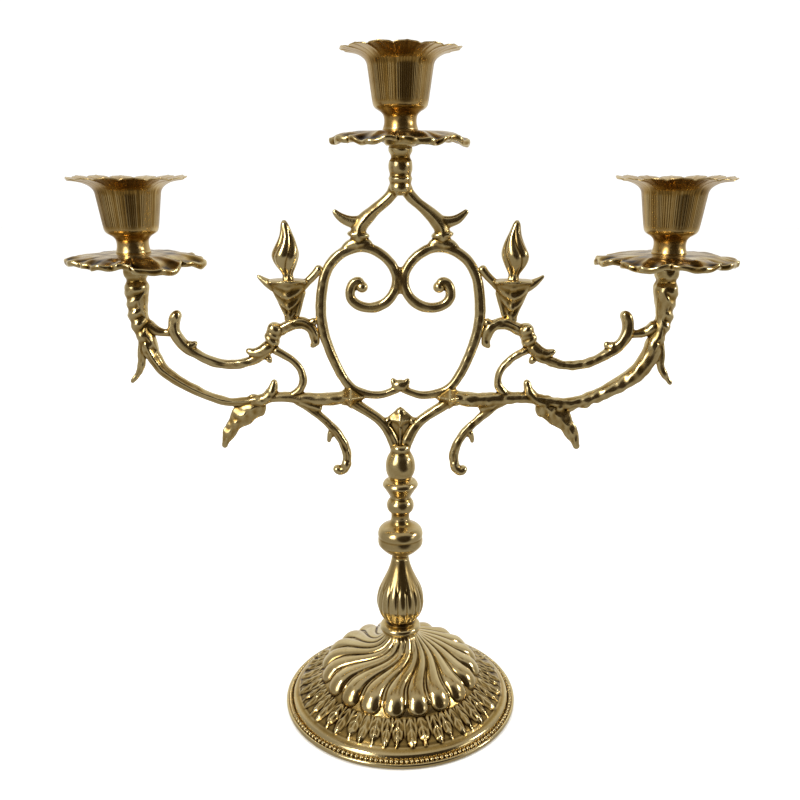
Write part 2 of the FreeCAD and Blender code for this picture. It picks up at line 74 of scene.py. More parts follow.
def lobe(t):
    """Half an ellipse over t from 0 to 1: the root of one less the square of 2t - 1."""
    return np.sqrt(np.clip(1 - (2 * t - 1) ** 2, 0, 1))


def lumps(points, size, seed):
    """Soft random bumps, about -1 to 1: the mean of ten sine waves through space, doubled. Their
    lengths are near the given size, and their directions and phases are drawn from the seed."""
    draw = np.random.default_rng(seed)
    ways = draw.normal(size=(10, 3))
    ways /= np.linalg.norm(ways, axis=1, keepdims=True) * size * draw.uniform(0.7, 1.6, (10, 1))
    return np.sin(TURN * (points @ ways.T + draw.uniform(0, 1, 10))).mean(-1) * 2


def even_line(points, spacing, curved=True):
    """A line through the points in even steps of about the given spacing. A curved one is a
    natural cubic spline over the root of the distance from point to point."""
    points = np.asarray(points, float)
    gaps = np.linalg.norm(np.diff(points, axis=0), axis=1)
    knots = np.concatenate([[0], np.cumsum(np.sqrt(gaps) if curved else gaps)])
    t = np.linspace(0, knots[-1], 60 * len(points))
    if curved:
        h = np.diff(knots)
        system = np.eye(len(points))
        right = np.zeros_like(points)
        for k in range(1, len(points) - 1):
            system[k, k - 1:k + 2] = h[k - 1], 2 * (h[k - 1] + h[k]), h[k]
            slope = (points[k + 1] - points[k]) / h[k] - (points[k] - points[k - 1]) / h[k - 1]
            right[k] = 6 * slope
        bend = np.linalg.solve(system, right)
        k = np.clip(np.searchsorted(knots, t) - 1, 0, len(h) - 1)
        a, b = ((knots[k + 1] - t) / h[k])[:, None], ((t - knots[k]) / h[k])[:, None]
        dense = (a * points[k] + b * points[k + 1]
                 + ((a ** 3 - a) * bend[k] + (b ** 3 - b) * bend[k + 1]) * h[k, None] ** 2 / 6)
    else:
        dense = np.stack([np.interp(t, knots, axis) for axis in points.T], axis=1)
    length = np.concatenate([[0], np.cumsum(np.linalg.norm(np.diff(dense, axis=0), axis=1))])
    even = np.linspace(0, length[-1], max(2, round(length[-1] / spacing)) + 1)
    return np.stack([np.interp(even, length, axis) for axis in dense.T], axis=1)


def skin(points, ring=False):
    """Vertices and faces over a grid of points (rows, columns, xyz). Columns close on themselves.
    Rows close on themselves in a ring, and otherwise a fan to its middle closes each end row.
    Where the volume inside comes out negative, the faces are turned round to look outwards."""
    rows, columns = points.shape[:2]
    index = np.arange(rows * columns).reshape(rows, columns)
    low, high = (index, np.roll(index, -1, axis=0)) if ring else (index[:-1], index[1:])
    quads = np.stack([low, np.roll(low, -1, 1), np.roll(high, -1, 1), high], -1).reshape(-1, 4)
    vertices = points.reshape(-1, 3)
    fans = np.zeros((0, 3), int)
    if not ring:
        vertices = np.concatenate([vertices, points[0].mean(0)[None], points[-1].mean(0)[None]])
        first, last = index[0], index[-1]
        foot, top = np.full(columns, len(vertices) - 2), np.full(columns, len(vertices) - 1)
        fans = np.concatenate([np.stack([foot, np.roll(first, -1), first], -1),
                               np.stack([top, last, np.roll(last, -1)], -1)])
    corners = vertices[quads]
    halves = np.concatenate([corners[:, [0, 1, 2]], corners[:, [0, 2, 3]], vertices[fans]])
    volume = np.einsum("ij,ij->i", halves[:, 0], np.cross(halves[:, 1], halves[:, 2])).sum()
    if volume < 0:
        quads, fans = quads[:, ::-1], fans[:, ::-1]
    return vertices, quads, fans


def mesh_of(name, skins):
    """One mesh in metres from skins in millimetres, smooth shaded."""
    counts = np.cumsum([0] + [len(s[0]) for s in skins])
    vertices = np.concatenate([s[0] for s in skins]) * MM
    quads = np.concatenate([s[1] + n for s, n in zip(skins, counts)])
    fans = np.concatenate([s[2] + n for s, n in zip(skins, counts)])
    mesh = bpy.data.meshes.new(name)
    mesh.vertices.add(len(vertices))
    mesh.vertices.foreach_set("co", vertices.astype(np.float32).ravel())
    mesh.loops.add(quads.size + fans.size)
    round_each = np.concatenate([quads.ravel(), fans.ravel()])
    mesh.loops.foreach_set("vertex_index", round_each.astype(np.int32))
    mesh.polygons.add(len(quads) + len(fans))
    starts = np.concatenate([np.arange(len(quads)) * 4, quads.size + np.arange(len(fans)) * 3])
    mesh.polygons.foreach_set("loop_start", starts.astype(np.int32))
    mesh.update(calc_edges=True)
    mesh.validate()
    mesh.shade_smooth()
    return mesh


def corners_of(mesh):
    """Positions in millimetres, outward normals and the pairs of vertices that edges join."""
    co = np.zeros(len(mesh.vertices) * 3, np.float32)
    normal = np.zeros_like(co)
    ends = np.zeros(len(mesh.edges) * 2, np.int32)
    mesh.vertices.foreach_get("co", co)
    mesh.vertex_normals.foreach_get("vector", normal)
    mesh.edges.foreach_get("vertices", ends)
    return co.reshape(-1, 3) / MM, normal.reshape(-1, 3), ends.reshape(-1, 2)


def mark_patina_and_painted_light(mesh, rounds=3, depth=0.55, extra_patina_and_painted_light=0):
    """Stores how hollow the surface is at each vertex, 0 on a crest and 1 in a crease, for the
    patina. Along an edge the normal curvature is twice the rise over the length squared; a
    vertex takes the mean of its edges, evened out over its neighbours a few times. The patina
    is thicker where depth is greater. The added value darkens further in places: more patina in
    the foot's chased ground, a darker mottled tone with painted shade at the rim on the pans,
    and painted reflection streaks round the cups' sockets."""
    co, normal, ends = corners_of(mesh)
    a, b = ends.T
    way = co[b] - co[a]
    square = np.maximum((way ** 2).sum(1), 1e-4)
    count = np.maximum(np.bincount(ends.ravel(), minlength=len(co)), 1)
    rise = np.bincount(a, (way * normal[a]).sum(1) / square, len(co))
    rise -= np.bincount(b, (way * normal[b]).sum(1) / square, len(co))
    hollow = 2 * rise / count
    for _ in range(rounds):
        around = np.bincount(a, hollow[b], len(co)) + np.bincount(b, hollow[a], len(co))
        hollow = 0.5 * hollow + 0.5 * around / count
    attribute = mesh.attributes.new("patina_and_painted_light", "FLOAT", "POINT")
    attribute.data.foreach_set("value", step(0.35 + depth * hollow + extra_patina_and_painted_light).astype(np.float32))


def piece_of(name, mesh, material, body, slot, *nodes):
    """Makes the object for a finished mesh, which rides on its body in place of the CAD nodes."""
    mesh.name = name
    mesh.materials.append(material)
    piece = bpy.data.objects.new(name, mesh)
    bpy.context.scene.collection.objects.link(piece)
    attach(piece, body)
    if nodes:
        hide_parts(*nodes)
    return piece


def linear(code):
    """An sRGB hex colour as linear red, green, blue and a full alpha."""
    parts = [int(code[k:k + 2], 16) / 255 for k in (1, 3, 5)]
    return tuple(c / 12.92 if c <= 0.04045 else ((c + 0.055) / 1.055) ** 2.4 for c in parts) + (1,)


def node(tree, kind, sockets=None, stops=(), **settings):
    """Adds a node to a tree and gives it its settings. A socket takes either the output of
    another node, as a link, or a value; a colour ramp takes stops of place and hex colour."""
    made = tree.nodes.new(kind)
    for key, setting in settings.items():
        setattr(made, key, setting)
    for key, source in (sockets or {}).items():
        if isinstance(source, bpy.types.NodeSocket):
            tree.links.new(source, made.inputs[key])
        else:
            made.inputs[key].default_value = source
    for count, (place, colour) in enumerate(stops):
        elements = made.color_ramp.elements
        element = elements[count] if count < len(elements) else elements.new(place)
        element.position = place
        element.color = linear(colour)
    return made


def brass(name, crest, body, hollow, roughness, mottle, grain, bump, drawn=(1, 1, 1)):
    """Brass with a dark wax patina left in its creases. Colour goes from crest to body to
    hollow with the stored vertex attribute, which holds that patina and, on the pans and cups,
    painted shade and painted reflection streaks as well; broad mottling shifts it and the gloss,
    and a fine grain of the given size in millimetres, pulled out along an axis where drawn is
    small, dulls it."""
    material = bpy.data.materials.new(name)
    material.use_nodes = True
    tree = material.node_tree
    shader = tree.nodes["Principled BSDF"]
    shader.inputs["Metallic"].default_value = 1
    place = node(tree, "ShaderNodeTexCoord").outputs["Object"]
    patina_and_painted_light = node(tree, "ShaderNodeAttribute", attribute_name="patina_and_painted_light").outputs["Fac"]
    pulled = node(tree, "ShaderNodeVectorMath", {0: place, 1: drawn},
                  operation="MULTIPLY").outputs[0]
    broad = node(tree, "ShaderNodeTexNoise",
                 {"Vector": place, "Scale": 1 / (mottle * MM), "Detail": 3.0}).outputs["Fac"]
    fine = node(tree, "ShaderNodeTexNoise",
                {"Vector": pulled, "Scale": 1 / (grain * MM), "Detail": 4.0}).outputs["Fac"]
    patchy = node(tree, "ShaderNodeMath", {0: broad, 1: 0.56, 2: -0.28},
                  operation="MULTIPLY_ADD").outputs[0]
    worn = node(tree, "ShaderNodeMath", {0: fine, 1: 0.16, 2: -0.08},
                operation="MULTIPLY_ADD").outputs[0]
    uneven = node(tree, "ShaderNodeMath", {0: patchy, 1: worn}, operation="ADD").outputs[0]
    # The stored attribute brings patina, and on the pans and cups painted shade and painted reflection
    # streaks, into the colour ramp.
    tarnish_and_painted_light = node(tree, "ShaderNodeMath", {0: patina_and_painted_light, 1: uneven}, operation="ADD",
                   use_clamp=True).outputs[0]
    colour = node(tree, "ShaderNodeValToRGB", {"Fac": tarnish_and_painted_light},
                  stops=[(0.1, crest), (0.4, body), (0.76, hollow)]).outputs["Color"]
    gloss = node(tree, "ShaderNodeMath", {0: tarnish_and_painted_light, 1: 0.22, 2: roughness - 0.06},
                 operation="MULTIPLY_ADD").outputs[0]
    dulled = node(tree, "ShaderNodeMath", {0: fine, 1: 0.1, 2: gloss},
                  operation="MULTIPLY_ADD").outputs[0]
    raised = node(tree, "ShaderNodeBump", {"Height": fine, "Strength": 1.0, "Distance": bump * MM})
    tree.links.new(colour, shader.inputs["Base Color"])
    tree.links.new(dulled, shader.inputs["Roughness"])
    tree.links.new(raised.outputs["Normal"], shader.inputs["Normal"])
    return material


# Polished cast brass, wheel polished and lacquered: sharp reflections, brown in the creases.
polished_brass = brass("polished_cast_brass", "#E0CD9C", "#B89A5A", "#241102", 0.15, 22, 0.9, 0.01)

FOOT_RIBS = 20
FOOT_RIB_TURN = 50  # degrees that a rib swirls between the collar and its round end
FOOT_LEAVES = 50
LEAF_BAND_START = 41.4  # radius of the inner edge of the leaf band
LEAF_BAND_WIDTH = 12.3
FOOT_BEADS = 150
BEAD_RING = 58.4  # radius of the row of beads
BEAD_LIFT = 3.35  # height of the beads' middles above the table
BEAD_RADIUS = 1.0
foot_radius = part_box("base_foot")[1].x / MM
foot_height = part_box("base_foot")[1].z / MM
foot_outside = [(57.4, 0), (59.2, 0.1), (60.4, 0.9), (foot_radius, 2.1), (60.5, 2.9), (59.8, 3.2),
                (59.3, 2.8), (58.4, 2.5), (57.5, 2.8), (57.0, 4.2), (56.2, 5.6), (54.8, 6.3),
                (53.7, 7.2), (52.7, 8.5), (48.5, 11), (44.5, 13.2), (41.7, 15), (39.8, 17.4), (37, 20.3),
                (33, 23.4), (28, 26.2), (23, 28.5), (18.4, 30.4), (14.6, 32.2), (11.6, 34.4), (9.4, 37),
                (8.1, foot_height - 1.2), (7.9, foot_height)]
foot_inside = [(3.2, foot_height), (3.2, 28), (9, 28), (12, 27.5), (21.5, 24.5), (31.5, 19.5),
               (37.9, 12.4), (50.5, 6.2), (55.4, 3), (56, 0)]


def foot_relief(r, angle):
    """Height of the chasing in millimetres. A rib is half an ellipse across, with a thin fillet
    beside it; it swirls clockwise by a sine of the radius, from the collar to its round, full end.
    A leaf is a low pointed dome with a midrib, slanting barbs and a raised edge, and a bud stands
    between two leaves. Every other leaf is shorter."""
    turn = -math.radians(FOOT_RIB_TURN) * np.sin(math.pi / 2 * np.clip((r - 9) / 25, 0, 1))
    t = ((angle - turn) * FOOT_RIBS / TURN) % 1
    fillet = 0.13
    main = lobe(np.clip((t - fillet) / (1 - fillet), 0, 1))
    thin = lobe(np.clip(t / fillet, 0, 1))
    rise = np.interp(r, [8, 10, 14, 20, 28, 35, 42], [0.1, 0.35, 0.75, 1.1, 1.9, 3.3, 3.5])
    end = 38.1 + 3.2 * main
    ended = np.sqrt(np.clip(1 - (np.clip(r - 34.5, 0, 9) / (end - 34.5)) ** 2, 0, 1))
    ribs = (main * rise + thin * rise * 0.25) * ended
    s = (r - LEAF_BAND_START) / LEAF_BAND_WIDTH
    drift = 0.012 * np.sin(7 * angle) + 0.009 * np.sin(23 * angle + 1)
    place = (angle + drift) * FOOT_LEAVES / TURN
    across = np.abs(2 * (place % 1) - 1)
    q = np.clip(s / (1 - 0.17 * (np.floor(place) % 2)), 0, 1)
    half = 0.84 * np.sqrt(np.clip(1 - q ** 2.6, 1e-3, 1))
    dome = np.sqrt(np.clip(1 - (across / half) ** 2, 0, 1))
    midrib = np.exp(-(across / 0.13) ** 2) * step(q / 0.2)
    edge = np.exp(-((across - half) / 0.12) ** 2) * step((1.02 - q) / 0.1)
    barbs = np.clip(np.cos(TURN * (2.7 * q - 0.9 * across)), 0, 1) ** 2 * dome
    bud = np.exp(-((across - 1) / 0.14) ** 2) * step((0.7 - q) / 0.25)
    worked = 0.85 + 0.25 * np.sin(11 * angle + 4 * s) + 0.2 * np.sin(29 * angle - 5 * s)
    leaf = 0.6 * dome + (0.65 * midrib + 0.35 * edge + 0.5 * barbs + 0.9 * bud) * worked - 0.35
    inside_band = step(s / 0.05) * step((1 - s) / 0.05)
    return ribs + leaf * inside_band


def turned(outline, spacing, columns, relief=None, ring=False, curved=False, centre=(0, 0), z=0):
    """Points of a turned piece: the outline of radius and height, in even steps, carried round
    the upright axis. Relief moves each point along the outline's own normal."""
    line = even_line(outline, spacing, curved)
    r, height = line[:, :1], line[:, 1:]
    angle = np.linspace(0, TURN, columns, endpoint=False)[None]
    way = np.gradient(line, axis=0)
    way /= np.linalg.norm(way, axis=1, keepdims=True)
    rise = np.zeros((len(line), columns)) if relief is None else relief(r, height, angle)
    radius = r + way[:, 1:] * rise
    up = height - way[:, :1] * rise + z
    return np.stack([centre[0] + radius * np.cos(angle), centre[1] + radius * np.sin(angle), up], -1)


foot_columns = 640
foot_spacing = 0.62
outside_line = even_line(foot_outside, foot_spacing)
outside = turned(outside_line, foot_spacing, foot_columns, lambda r, z, angle: foot_relief(r, angle))
inside = turned(foot_inside, 6, foot_columns)
foot_mesh = mesh_of("foot", [skin(np.concatenate([outside, inside]), ring=True)])
foot_co = corners_of(foot_mesh)[0]
foot_r = np.hypot(foot_co[:, 0], foot_co[:, 1])
foot_angle = np.arctan2(foot_co[:, 1], foot_co[:, 0])
in_band = (foot_r > 41.6) & (foot_r < 53.4) & (foot_co[:, 2] > 6)
mark_patina_and_painted_light(foot_mesh, rounds=2, depth=0.8,
              extra_patina_and_painted_light=np.where(in_band, 0.1 - 0.22 * foot_relief(foot_r, foot_angle), 0))
piece_of("foot_casting", foot_mesh, polished_brass, "candelabra", "polished_brass", "base_foot")


def beads(count, ring_radius, height, radius):
    """A ring of beads. One bead is a ball of 7 rows and 10 columns: cosines and sines of its own
    rise and turn times the radius. It is repeated in even steps round the upright axis."""
    rise = np.linspace(-1.2, 1.5, 7)[:, None]
    around = np.linspace(0, TURN, 10, endpoint=False)[None]
    one = np.stack([np.cos(rise) * np.cos(around), np.cos(rise) * np.sin(around),
                    np.sin(rise) * np.ones_like(around)], -1) * radius
    skins = []
    for angle in np.linspace(0, TURN, count, endpoint=False):
        place = (ring_radius * math.cos(angle), ring_radius * math.sin(angle), height)
        skins.append(skin(one + np.array(place)))
    return skins


bead_mesh = mesh_of("foot_beads", beads(FOOT_BEADS, BEAD_RING, BEAD_LIFT, BEAD_RADIUS))
mark_patina_and_painted_light(bead_mesh, rounds=0)
piece_of("foot_bead_row", bead_mesh, polished_brass, "candelabra", "polished_brass")

# ------------------------------ nut, washer, rod
# Zinc plated steel from the hardware shop: a 6 mm rod cut to length, a nut and a washer, hidden
# in the hollow of the foot. Their CAD solids are right as they are. The zinc gives a cold grey
# with a faint cloudy grain, between satin and shiny.
steel = bpy.data.materials.new("zinc_plated_steel")
steel.use_nodes = True
steel_tree = steel.node_tree
steel_shader = steel_tree.nodes["Principled BSDF"]
steel_shader.inputs["Metallic"].default_value = 1
steel_place = node(steel_tree, "ShaderNodeTexCoord").outputs["Object"]
steel_grain = node(steel_tree, "ShaderNodeTexNoise",
                   {"Vector": steel_place, "Scale": 1 / (1.2 * MM)})
steel_colour = node(steel_tree, "ShaderNodeValToRGB", {"Fac": steel_grain.outputs["Fac"]},
                    stops=[(0.3, "#8E9396"), (0.7, "#C3C7C8")])
steel_gloss = node(steel_tree, "ShaderNodeMath", {0: steel_grain.outputs["Fac"], 1: 0.25, 2: 0.22},
                   operation="MULTIPLY_ADD")
steel_tree.links.new(steel_colour.outputs["Color"], steel_shader.inputs["Base Color"])
steel_tree.links.new(steel_gloss.outputs[0], steel_shader.inputs["Roughness"])


def keep_node(name, material):
    """Shows a CAD node as it is, in a finish of its own."""
    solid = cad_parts[name]
    solid.data.materials.clear()
    solid.data.materials.append(material)


for hidden in ("tie_rod", "base_nut", "base_washer"):
    keep_node(hidden, steel)

# ------------------------------ stem
# Four turned brass pieces threaded on the rod: a fluted baluster, a banded knop, a spool and a
# ring. They were spun against a polishing wheel, so they are the brightest part.
ROD_HOLE = 3.2
STEM_FLUTES = 15
stem_columns = 240


def stem_piece(name, cad_node, outline, relief=None, spacing=0.35):
    """A turned piece with the rod's hole through it, standing where its CAD node stands."""
    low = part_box(cad_node)[0].z / MM
    height = outline[-1][1]
    side = turned(even_line(outline, spacing), spacing, stem_columns, relief, z=low)
    bore = turned([(ROD_HOLE, height), (ROD_HOLE, 0)], 4, stem_columns, z=low)
    mesh = mesh_of(name, [skin(np.concatenate([side, bore]), ring=True)])
    mark_patina_and_painted_light(mesh)
    piece_of(name, mesh, polished_brass, "candelabra", "polished_brass", cad_node)


def flutes(r, height, angle):
    """Round ribs with sharp valleys, each half an ellipse across, that end in pointed arches
    below the neck and fade out above the foot."""
    t = (angle * STEM_FLUTES / TURN) % 1
    arch = 33 - 5 * (2 * t - 1) ** 2
    fade = step((height - 6.6) / 3) * step((arch - height) / 5)
    return (lobe(t) ** 0.8 - 0.95) * 1.15 * fade


stem_piece("stem_baluster_turned", "stem_baluster", [
    (8.2, 0), (9.4, 0.4), (10.2, 1.5), (10.4, 2.8), (10.1, 3.9), (9.0, 4.7), (7.6, 5.2), (7.0, 5.8),
    (7.3, 6.8), (9.2, 8.8), (11.2, 12.5), (12.1, 16.6), (11.9, 20.6), (10.8, 25), (9.0, 29),
    (7.3, 32.6), (6.0, 35.8), (5.0, 39), (4.4, 42)], flutes)
stem_piece("stem_knop_turned", "stem_knop", [
    (4.3, 0), (4.4, 1.4), (5.4, 2.4), (7.8, 4.2), (10.0, 6.4), (11.0, 7.8), (11.3, 9.2), (11.2, 11.2),
    (11.1, 12), (11.25, 12.6), (11.2, 14.4), (10.6, 16), (9.1, 17.5), (7.0, 18.5), (5.6, 19.4),
    (4.9, 20.6), (4.6, 22)])
stem_piece("stem_spool_turned", "stem_spool", [
    (4.6, 0), (4.6, 2), (5.0, 3), (5.9, 4), (6.6, 5.5), (6.75, 7), (6.5, 8.6), (5.7, 9.9), (5.2, 10.7),
    (5.1, 12)])
stem_piece("stem_ring_turned", "stem_ring", [
    (5.4, 0), (5.8, 0.8), (6.9, 2.6), (8.2, 4.6), (8.75, 5.6), (8.6, 6.5), (7.7, 7.8), (6.4, 8.6), (5.8, 9)])

# ------------------------------ branch work: middle
# The hub, the two lyre scrolls, the crown, the fork and the top post were cast in brass, brazed
# together and dressed by hand, so their joints are rounded over and no bar is quite even.
hub_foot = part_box("frame_hub")[0].z / MM
frame_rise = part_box("drip_pan_middle")[0].z / MM - hub_foot
arm_reach = (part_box("candle_cup_right")[0].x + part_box("candle_cup_right")[1].x) / 2 / MM
CAST_SKIN = 0.4  # size of the faces of a casting, near its finest detail


def laid_out(route, side=1):
    """Points from percent of the arm's reach and of the frame's rise above the hub's foot."""
    return np.array([(side * x * arm_reach / 100, 0, hub_foot + z * frame_rise / 100) for x, z in route])


def at_height(route, side=1):
    """Points from percent of the arm's reach and millimetres of height."""
    return np.array([(side * x * arm_reach / 100, 0, z) for x, z in route])


def bar(line, widths, depth=1.0, groove=0.0, ridge=0.0, columns=26):
    """Points of a cast bar: an ellipse carried along the line. Widths are half thicknesses at
    even stations. Depth is front to back over width. A groove hollows the middle of front and
    back and a ridge raises it. Both ends close in half an ellipse."""
    line = even_line(line, 0.5)
    way = np.gradient(line, axis=0)
    way /= np.linalg.norm(way, axis=1, keepdims=True)
    across = np.cross(way, (0, 1.0, 0))
    length = np.concatenate([[0], np.cumsum(np.linalg.norm(np.diff(line, axis=0), axis=1))])
    width = np.interp(length / length[-1], np.linspace(0, 1, len(widths)), widths)
    ends = np.minimum(length / max(widths[0], 0.3), (length[-1] - length) / max(widths[-1], 0.3))
    width = width * np.sqrt(np.clip(1 - (1 - np.clip(ends, 0, 1)) ** 2, 0.004, 1))
    angle = np.linspace(0, TURN, columns, endpoint=False)[None]
    middle = np.exp(-(np.cos(angle) / 0.33) ** 2)
    out, front = np.cos(angle), np.sin(angle) * (1 + ridge * middle - groove * middle)
    return (line[:, None] + across[:, None] * (out * width[:, None])[..., None]
            + np.array([0, 1.0, 0]) * (front * width[:, None] * depth)[..., None])


def round_lump(centre, sizes, tilt=0.0, columns=24):
    """An ellipsoid: the cosines and sines of rise and turn times the half sizes along, front to
    back and up. It is tilted in the branch work's plane."""
    rise = np.linspace(-1.5, 1.5, 14)[:, None]
    around = np.linspace(0, TURN, columns, endpoint=False)[None]
    ball = np.stack([np.cos(rise) * np.cos(around), np.cos(rise) * np.sin(around),
                     np.sin(rise) * np.ones_like(around)], -1) * np.array(sizes)
    c, s = math.cos(tilt), math.sin(tilt)
    return ball @ np.array([[c, 0, s], [0, 1, 0], [-s, 0, c]]) + np.array(centre)


def pointed_boss(centre, wide, high, deep):
    """A four-sided pyramid on the front and on the back: the section shrinks to each point."""
    depth = np.linspace(-1, 1, 17)[:, None]
    angle = np.linspace(0, TURN, 32, endpoint=False)[None]
    square = 1 / (np.abs(np.cos(angle)) + np.abs(np.sin(angle)))
    size = np.clip(1 - np.abs(depth), 0.02, 0.9) * square
    return np.stack([centre[0] + wide * size * np.cos(angle), centre[1] + deep * depth + 0 * angle,
                     centre[2] + high * size * np.sin(angle)], -1)


def cast_in_one(name, grids, material, nodes, hammer=0.0, seed=1):
    """Melts overlapping closed skins into one skin of even faces, evens it out, then moves each
    vertex along its normal by soft lumps, as files and casting sand leave them."""
    rough = bpy.data.objects.new(name + "_parts", mesh_of(name + "_parts", [skin(g) for g in grids]))
    bpy.context.scene.collection.objects.link(rough)
    melt = rough.modifiers.new("melt", "REMESH")
    melt.mode, melt.voxel_size, melt.use_smooth_shade = "VOXEL", CAST_SKIN * MM, True
    even = rough.modifiers.new("even", "SMOOTH")
    even.factor, even.iterations = 0.5, 2
    graph = bpy.context.evaluated_depsgraph_get()
    mesh = bpy.data.meshes.new_from_object(rough.evaluated_get(graph))
    bpy.data.objects.remove(rough)
    co, normal, _ = corners_of(mesh)
    if hammer:
        moved = 0.5 * lumps(co, 4.2, seed) + 0.5 * lumps(co, 8.5, seed + 1)
        co = co + normal * (hammer * moved)[:, None]
        mesh.vertices.foreach_set("co", (co * MM).astype(np.float32).ravel())
        mesh.update()
    mark_patina_and_painted_light(mesh, rounds=4)
    mesh.materials.clear()
    return piece_of(name, mesh, material, "candelabra", "cast_brass", *nodes)


# Cast brass dressed with files and a buffing mop: softer reflections, more brown left in.
cast_brass = brass("dressed_cast_brass", "#E2CF9C", "#B0904E", "#221002", 0.18, 14, 0.9, 0.02)

lyre_route = [(14.6, 60.5), (15.6, 61.7), (17.3, 61.6), (18.8, 59.8), (18.9, 57.4), (16.9, 55.4),
              (12.7, 54.3), (8.0, 54.8), (4.0, 57), (1.75, 60.3), (1.7, 64.4), (4.2, 67.8), (8.2, 70.5),
              (14, 72), (20.6, 70.8), (25.5, 67.8), (28.6, 63.4), (30.2, 56.6), (30.3, 50.8), (28.9, 45),
              (26.4, 39.4), (23.4, 34.2), (19.4, 29.8), (15.2, 28.1), (11, 27.4), (7.6, 27.4), (4, 28.3),
              (0, 29.6)]
lyre_widths = [2.4, 2.35, 2.35, 2.5, 2.45, 2.3, 2.3, 2.35, 2.4, 2.45, 2.45, 2.5, 2.6, 2.6, 2.5, 2.45,
               2.35, 2.3, 2.1, 1.9, 1.8]
hub_leg = [(1.2, 8.6), (2.6, 12.4), (6.2, 17.6), (11.4, 21.2), (16.4, 23.8), (20.4, 26.2)]
fork_leg = [(1.9, 265), (2.9, 260.6), (7.8, 254.9), (12.6, 249.8), (15.2, 245.6), (15.6, 242.4),
            (15.7, 238.4)]
fork_horn = [(12.8, 248.4), (17.4, 248), (21.7, 249.8), (24.9, 253.4)]
fork_pad = [(10.4, 237.6), (13, 238.8), (15.6, 238.8), (19, 237.6), (21.8, 235.6)]
middle = []
for side in (-1, 1):
    middle += [
        # the lyre scroll and the ball at its curled end
        bar(laid_out(lyre_route, side), lyre_widths, 1.0, groove=0.12),
        round_lump(laid_out([(14.5, 60.4)], side)[0], (2.8, 2.9, 2.7)),
        bar(laid_out(hub_leg, side), [2.9, 3.0, 2.7, 2.5, 2.6, 3.0], 1.1, groove=0.15),
        # the fork's leg, its horn, and the pad and collar that it stands on
        bar(at_height(fork_leg, side), [3.0, 2.6, 2.45, 2.8, 3.5, 3.5, 4.3], 0.85, ridge=0.15),
        bar(at_height(fork_horn, side), [3.2, 2.8, 2.1, 1.1], 0.8),
        bar(at_height(fork_pad, side), [1.4, 2.5, 3.1, 2.5, 1.4], 0.9),
        round_lump(at_height([(15.6, 242.4)], side)[0], (5.2, 3.6, 1.9), side * 0.12),
        # the braze and the diamond where lyre, arm and hub's leg meet
        round_lump((side * 24.4, 0, 166.2), (5.6, 2.7, 3.6), side * -0.45),
        pointed_boss((side * 23.6, 0, 166.8), 8.6, 7.0, 6.2),
        # a horn of the crown, and the shoulder of the hub's diamond
        bar(laid_out([(1.4, 30), (2.5, 31.4), (3.2, 32.7)], side), [2.2, 1.7, 0.9], 0.9),
        round_lump((side * 6.2, 0, 154.4), (2.9, 2.3, 2.0), side * -0.8),
    ]
hub_outline = [(5.2, 0), (6.0, 1.2), (6.9, 3.4), (7.2, 6.2), (7.0, 9), (6.2, 11.6), (5.2, 13.4), (4.9, 14.8),
               (5.2, 16.4), (4.2, 18)]
post_outline = [(2.6, 0), (4.9, 2), (5.1, 3.6), (4.7, 5.4), (5.1, 6.6), (5.35, 7.4), (4.8, 8.2), (4.7, 9.2),
                (5.2, 10.8), (5.3, 12.6), (5.1, 14.6), (4.3, 15.8), (4.2, 16.8), (4.9, 18), (5.35, 18.8),
                (5.35, 20.2), (5.0, 21)]
middle += [
    # the hub's web, the thin rib on it, and the diamond in its crotch
    bar(laid_out([(0, 8.6), (0, 14), (0, 22)]), [2.6, 4.6, 6.6], 0.42),
    bar(laid_out([(0, 8.8), (0, 13.5), (0, 17.5)]), [0.8, 0.8, 0.8], 3.2),
    pointed_boss((0, 0, 155.6), 8.2, 7.0, 4.0),
    round_lump((0, 0, 158.4), (2.7, 2.3, 3.0)),
    # the crown's middle, and the braze between the two lyre scrolls
    round_lump((0, 0, 172.2), (4.3, 2.3, 3.0)),
    bar([(0, 0, 215.6), (0, 0, 222), (0, 0, 228.2)], [1.8, 2.3, 1.8], 0.95),
    turned(hub_outline, 0.5, 64, z=hub_foot, curved=True),
    turned(post_outline, 0.45, 72, z=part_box("top_post")[0].z / MM),
]
cast_in_one("middle_casting", middle, cast_brass,
            ["frame_hub", "lyre_left", "lyre_right", "lyre_crown", "fork_left", "fork_right", "top_post"],
            hammer=0.16, seed=4)

# ------------------------------ branch work: arms
# Each arm is one casting with the side post at its end, brazed to the lyre and to the hub's leg.
# The right one's lower bar is scaled like bark underneath. Both posts are banded outside.
side_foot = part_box("side_post_right")[0].z / MM


def side_post(side):
    """A post that leans out of the arm, stouter on the left. On its outer side are bands, waves
    of its height; on the inner side a plain sheath stands proud, with an edge that winds up it,
    and on the left the bands reach round to the front."""
    stout = 0 if side > 0 else 0.7
    outline = [(2.2, -9), (3.8, -5.5), (4.1, 0), (3.7 + stout, 6), (3.8 + stout, 12),
               (4.3 + stout / 2, 17), (5.0, 21), (5.6, 24.6), (5.6, 26.2), (5.1, 27.4), (4.4, 28.6),
               (4.4, 29.6), (5.2, 30.8), (5.5, 32.2), (5.5, 34), (5.2, 35)]

    def relief(r, height, angle):
        outer = 0.5 + 0.5 * np.cos(angle if side > 0 else angle - math.pi)
        edge = (0.46 if side > 0 else 0.2) + 0.13 * np.sin(height * 0.42)
        sheath = step((edge - outer) / 0.08 + 0.5)
        bands = 0.5 + 0.5 * np.cos(TURN * (height + 4 * outer) / 5.4)
        along = step((height + 7) / 4) * step((26 - height) / 3)
        return along * ((1 - sheath) * (bands - 0.7) * 0.75 + sheath * 0.3)

    points = turned(outline, 0.4, 96, relief, centre=(side * arm_reach, 0), z=side_foot)
    points[..., 0] += side * np.interp(points[..., 2] - side_foot, [-9, -4, 1, 6, 13, 20, 27],
                                       [-4.6, -3.6, -2.4, -0.4, 1.0, 0.7, 0])
    return points


